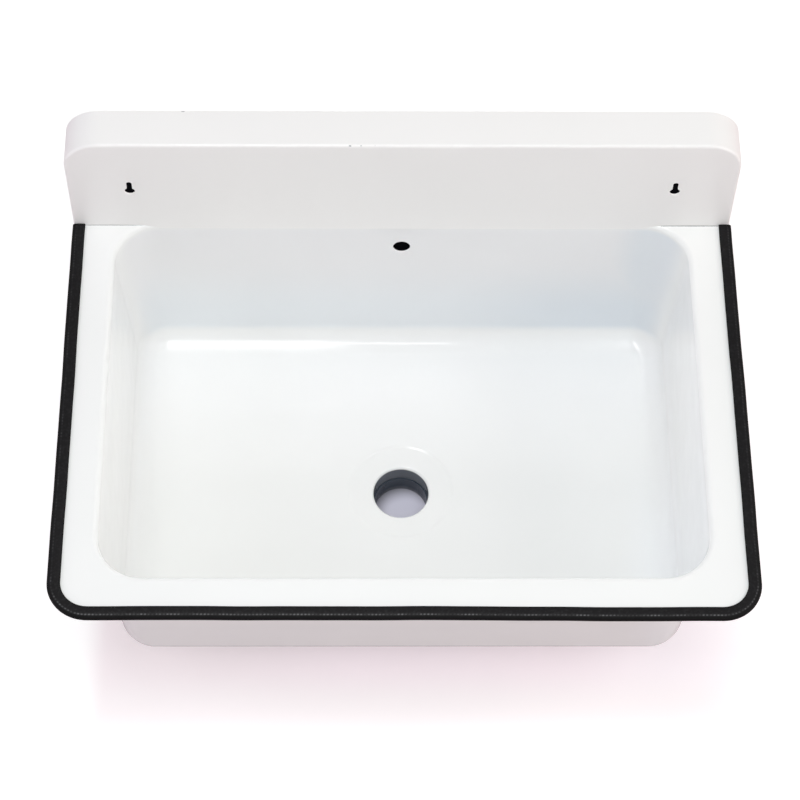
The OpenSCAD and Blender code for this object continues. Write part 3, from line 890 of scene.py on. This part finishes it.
def trim_nodes():
    """Sweeps a section along a rail, and swells its shoulder where each clip presses through,
    less along the sides, which lie behind the start of the front corners."""
    nodes, given, out = group_tree(
        "trim_along_edge", "GeometryNodeTree",
        {"Rail": ("NodeSocketGeometry", None), "Section": ("NodeSocketObject", None),
         "Pitch": (VALUE, 0.0031), "Swell": (VALUE, 0.0001), "Side Swell": (VALUE, 0.5),
         "Corner Start": (VALUE, -0.36), "Shoulder": (VALUE, 0.0025),
         "Half Height": (VALUE, 0.0031), "Material": ("NodeSocketMaterial", None)},
        {"Trim": ("NodeSocketGeometry", None)})

    def curve_from(geometry):
        return nodes.add("GeometryNodeMeshToCurve", {"Mesh": geometry}).outputs[0]

    def kept(geometry, kind, value):
        made = nodes.add("GeometryNodeCaptureAttribute", {"Geometry": geometry})
        made.capture_items.new(kind, "kept")
        nodes.join(value, made.inputs[1])
        return made.outputs[0], made.outputs[1]

    rail = nodes.add("GeometryNodeSetCurveNormal", {"Curve": curve_from(given["Rail"])},
                     mode="Z_UP").outputs[0]
    run = nodes.add("GeometryNodeSplineParameter").outputs["Length"]
    rail, run = kept(rail, "FLOAT", run)
    shape = nodes.add("GeometryNodeObjectInfo", {"Object": given["Section"]})
    spot = nodes.add("GeometryNodeInputPosition").outputs[0]
    section, spot = kept(curve_from(shape.outputs["Geometry"]), "VECTOR", spot)
    swept = nodes.add("GeometryNodeCurveToMesh", {"Curve": rail, "Profile Curve": section,
                                                  "Fill Caps": True}).outputs[0]
    split = nodes.add("ShaderNodeSeparateXYZ", {0: spot}).outputs
    turn = nodes.math("DIVIDE", nodes.times(run, math.pi), given["Pitch"])
    wave = nodes.math("ABSOLUTE", nodes.math("COSINE", turn))
    here = nodes.add("ShaderNodeSeparateXYZ",
                     {0: nodes.add("GeometryNodeInputPosition").outputs[0]}).outputs[1]
    in_front = nodes.ramp(nodes.math("SUBTRACT", here, given["Corner Start"]),
                          17.5 * MM, -12.5 * MM, given["Side Swell"], 1.0)
    wave = nodes.times(wave, in_front)
    past = nodes.math("SUBTRACT", split[0], given["Shoulder"])
    outside = nodes.ramp(past, -0.9 * MM, -0.1 * MM)
    band = nodes.times(outside, nodes.ramp(past, 0.3 * MM, 1.3 * MM, 1.0, 0.0))
    half = given["Half Height"]
    high = nodes.ramp(nodes.math("ABSOLUTE", split[1]), nodes.times(half, 0.35), nodes.times(half, 0.75))
    size = nodes.math("ADD", nodes.times(outside, 0.4), nodes.times(band, 0.6))
    size = nodes.times(size, high, given["Swell"], wave)
    normal = nodes.add("GeometryNodeInputNormal").outputs[0]
    push = nodes.add("ShaderNodeVectorMath", {0: normal, "Scale": size}, operation="SCALE").outputs[0]
    swept = nodes.add("GeometryNodeSetPosition", {"Geometry": swept, "Offset": push}).outputs[0]
    for label, value in (("past_dots", past), ("pressed", nodes.times(wave, band))):
        swept = nodes.add("GeometryNodeStoreNamedAttribute",
                          {"Geometry": swept, "Name": label, "Value": value}).outputs[0]
    real = nodes.add("GeometryNodeRealizeInstances", {"Geometry": swept}).outputs[0]
    done = nodes.add("GeometryNodeSetMaterial", {"Geometry": real, "Material": given["Material"]})
    nodes.join(done.outputs[0], out["Trim"])
    return nodes.tree


class SINK_OT_spigot_and_clips(Operator):
    """Give the spigot and the trim's clips, whose shapes are right, their finishes"""

    bl_idname = "sink.spigot_and_clips"
    bl_label = "Spigot and Clips"

    def execute(self, context):
        for name, material in (("waste_spigot", ground_enamel()), ("trim_core", clip_steel())):
            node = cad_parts[name]
            for slot in node.material_slots:
                slot.material = material
        return {"FINISHED"}


# The stage


class SINK_OT_stage(Operator):
    """Set up the floor, the lights and the camera"""

    bl_idname = "sink.stage"
    bl_label = "Stage"

    def execute(self, context):
        """The last three lamps show in mirroring enamel alone. They hang under the boxes, because
        lamps on one level hide each other."""
        stage = context.scene.sink_stage
        self.camera(context, stage)
        self.floor(context, stage)
        self.sky(context, stage)
        box_y, box_level, box_deep, mirrored_level = -0.585, 1.38, 0.635, 1.36
        for name, watts, tint, x, wide in (
                ("soft_box", stage.box_power, stage.box_tint, -0.25, 0.8),
                ("right_box", stage.side_box_power, stage.side_box_tint, 0.4, 0.5)):
            self.lamp_above(name, watts, tint, (x, box_y, box_level), wide, box_deep, glossy=False)
        self.lamp("front_box", stage.front_power, stage.front_tint, (0.0, -1.9, 2.6),
                  (0.0, -0.2, -0.1), 3.0, 1.4, glossy=False)
        for name, watts, tint, x in (("left_fill", stage.left_power, stage.left_tint, -2.0),
                                     ("right_fill", stage.right_power, stage.right_tint, 2.0)):
            self.lamp(name, watts, tint, (x, -0.3, 0.8), (0.0, -0.3, -0.1), 2.4, 1.8)
        for name, x, y, wide, deep, brightness in (
                ("window", -0.22, -0.475, 0.28, 1.15, 1.0),
                ("front_strip", 0.015, -0.62, 0.19, 0.14, 1.5),
                ("corner_strip", 0.455, -0.50, 0.12, 1.2, 1.0)):
            watts = stage.gleam * brightness * math.pi * wide * deep
            self.lamp_above(name, watts, (1, 1, 1), (x, y, mirrored_level), wide, deep, diffuse=False)
        context.scene.view_settings.view_transform = "Standard"
        return {"FINISHED"}

    def camera(self, context, stage):
        pitch, yaw, roll = stage.pitch, stage.yaw, stage.roll
        ahead = Vector((math.sin(yaw) * math.cos(pitch), math.cos(yaw) * math.cos(pitch),
                        -math.sin(pitch)))
        level = Vector((math.cos(yaw), -math.sin(yaw), 0))
        up = level.cross(ahead)
        right = level * math.cos(roll) + up * math.sin(roll)
        up = up * math.cos(roll) - level * math.sin(roll)
        camera = bpy.data.objects.new("camera", bpy.data.cameras.new("camera"))
        context.scene.collection.objects.link(camera)
        axes = Matrix((right, up, -ahead)).transposed().to_4x4()
        camera.matrix_world = Matrix.Translation(stage.place) @ axes
        camera.data.lens, camera.data.sensor_width = stage.focal, 36.0
        camera.data.clip_end = 50.0
        context.scene.camera = camera

    def floor(self, context, stage):
        """The paper floor. It is black in the three spots behind the sink that its front holes show:
        painted shade in place of the shade behind the sink. Under the drain it is a lilac painted shade,
        darker towards its edge."""
        s = context.scene.sink_sizes
        level, half = CAD_BOX[0][2] - stage.floor_gap, 6.0
        points = [(-half, -half, level), (half, -half, level), (half, half, level), (-half, half, level)]
        floor = put_in_scene("floor", mesh_of("floor", points, [(0, 1, 2, 3)]))
        material = bpy.data.materials.new("pale_floor")
        material.use_nodes = True
        nodes = Nodes(material.node_tree)
        material.node_tree.nodes.clear()
        place = nodes.add("ShaderNodeTexCoord").outputs["Object"]
        x, y, _ = nodes.add("ShaderNodeSeparateXYZ", {0: place}).outputs

        def away_from(spot_x, spot_y):
            apart = nodes.add("ShaderNodeCombineXYZ", {0: nodes.math("SUBTRACT", x, spot_x),
                                                       1: nodes.math("SUBTRACT", y, spot_y)})
            return nodes.add("ShaderNodeVectorMath", {0: apart.outputs[0]},
                             operation="LENGTH").outputs["Value"]

        # Painted shade: black spots on the paper where the keyholes and the overflow look through.
        behind = 0.0
        left_keyhole, right_keyhole, overflow = (-0.2746, 0.1925), (0.2829, 0.1925), (0.0027, 0.1221)
        for spot in (left_keyhole, right_keyhole, overflow):
            dark = nodes.ramp(away_from(*spot), 13.5 * MM, 22 * MM, 1.0, 0.0)
            behind = nodes.math("MAXIMUM", behind, dark)
        # Painted shade under the drain: lilac, and darker away from the drain's middle, a painted shadow
        # of the neck.
        under = nodes.ramp(away_from(0.0, -s.drain_back), s.drain / 2 - 0.5 * MM,
                           s.drain / 2 + 0.7 * MM, 1.0, 0.0)
        edge = nodes.ramp(away_from(0.005, -0.190), 18 * MM, 40 * MM, 0.0, 0.9)
        black, lilac, lilac_glow = (0.0, 0.0, 0.0), (0.73, 0.71, 0.82), (0.133, 0.130, 0.153)
        tone = nodes.mix(under, stage.paper, nodes.mix(edge, lilac, black))
        tone = nodes.mix(behind, tone, (0.004, 0.004, 0.005))
        paper = nodes.add("ShaderNodeBsdfDiffuse", {"Color": tone})
        glow = nodes.mix(under, self.paper_glow(nodes, x, y), nodes.mix(edge, lilac_glow, black))
        seen = nodes.add("ShaderNodeLightPath").outputs["Is Camera Ray"]
        strength = nodes.times(seen, nodes.math("SUBTRACT", 1.0, behind))
        lift = nodes.add("ShaderNodeEmission", {"Color": glow, "Strength": strength})
        both = nodes.add("ShaderNodeAddShader", {0: paper.outputs[0], 1: lift.outputs[0]})
        nodes.add("ShaderNodeOutputMaterial", {"Surface": both.outputs[0]})
        floor.data.materials.append(material)

    def paper_glow(self, nodes, x, y):
        """What the camera sees on top of the paper's shade: least under the sink, most beside it, which
        paints a shadow under the sink.
        """
        left, middle, right = (0.320, 0.315, 0.318), (0.393, 0.360, 0.385), (0.355, 0.362, 0.382)
        front, beside = (0.305, 0.328, 0.320), (0.44, 0.50, 0.48)
        under = nodes.mix(nodes.ramp(x, -0.02, -0.24), middle, left)
        under = nodes.mix(nodes.ramp(x, 0.12, 0.26), under, right)
        under = nodes.mix(nodes.ramp(y, -0.34, -0.385), under, front)
        outside = nodes.math("MAXIMUM", nodes.ramp(x, -0.268, -0.296), nodes.ramp(x, 0.27, 0.36))
        for start, end in ((-0.385, -0.44), (0.0, 0.05)):
            outside = nodes.math("MAXIMUM", outside, nodes.ramp(y, start, end))
        return nodes.mix(outside, under, beside)

    def sky(self, context, stage):
        world = bpy.data.worlds.new("studio")
        world.use_nodes = True
        nodes = Nodes(world.node_tree)
        world.node_tree.nodes.clear()
        path = nodes.add("ShaderNodeLightPath").outputs
        seen = nodes.math("MAXIMUM", path["Is Camera Ray"], path["Is Transmission Ray"])
        tone = nodes.mix(seen, stage.sky, (1, 1, 1))
        light = nodes.add("ShaderNodeBackground", {"Color": tone, "Strength": 1.0})
        nodes.add("ShaderNodeOutputWorld", {"Surface": light.outputs[0]})
        context.scene.world = world

    def lamp_above(self, name, watts, tint, place, wide, deep, **lights):
        """A lamp that looks down. Its target is a hair further back, which keeps it square."""
        x, y, _ = place
        self.lamp(name, watts, tint, place, (x, y + 0.1 * MM, 0.0), wide, deep, **lights)

    def lamp(self, name, watts, tint, place, target, wide, deep, diffuse=True, glossy=True):
        data = bpy.data.lights.new(name, "AREA")
        data.shape, data.size, data.size_y, data.energy = "RECTANGLE", wide, deep, watts
        data.color = tint
        lamp = bpy.data.objects.new(name, data)
        bpy.context.scene.collection.objects.link(lamp)
        aim = Vector(target) - Vector(place)
        lamp.matrix_world = Matrix.Translation(place) @ aim.to_track_quat("-Z", "Y").to_matrix().to_4x4()
        lamp.visible_camera, lamp.visible_diffuse, lamp.visible_glossy = False, diffuse, glossy


class SINK_PT_panel(Panel):
    """Lists the sink's sizes, finishes and steps"""

    bl_idname = "SINK_PT_panel"
    bl_label = "Bucket Sink"
    bl_space_type = "VIEW_3D"
    bl_region_type = "UI"
    bl_category = "Bucket Sink"

    def draw(self, context):
        scene, layout = context.scene, self.layout
        for group in (scene.sink_sizes, scene.trim_sizes, scene.sink_finishes, scene.sink_stage):
            box = layout.box()
            for name in group.__annotations__:
                box.prop(group, name)
        for step in STEPS:
            layout.operator(step.bl_idname)


GROUPS = {"sink_sizes": SinkSizes, "trim_sizes": TrimSizes, "sink_finishes": SinkFinishes,
          "sink_stage": StageSettings}
STEPS = (SINK_OT_bowl, SINK_OT_backsplash, SINK_OT_edge_trim, SINK_OT_spigot_and_clips, SINK_OT_stage)


def register():
    for made in (*GROUPS.values(), *STEPS, SINK_PT_panel):
        bpy.utils.register_class(made)
    for name, group in GROUPS.items():
        setattr(bpy.types.Scene, name, PointerProperty(type=group))


def unregister():
    for name in GROUPS:
        delattr(bpy.types.Scene, name)
    for made in (SINK_PT_panel, *reversed(STEPS), *reversed(GROUPS.values())):
        bpy.utils.unregister_class(made)


def main():
    register()
    bpy.ops.sink.bowl()
    bpy.ops.sink.backsplash()
    bpy.ops.sink.edge_trim()
    bpy.ops.sink.spigot_and_clips()
    bpy.ops.sink.stage()


if __name__ == "__main__":
    main()
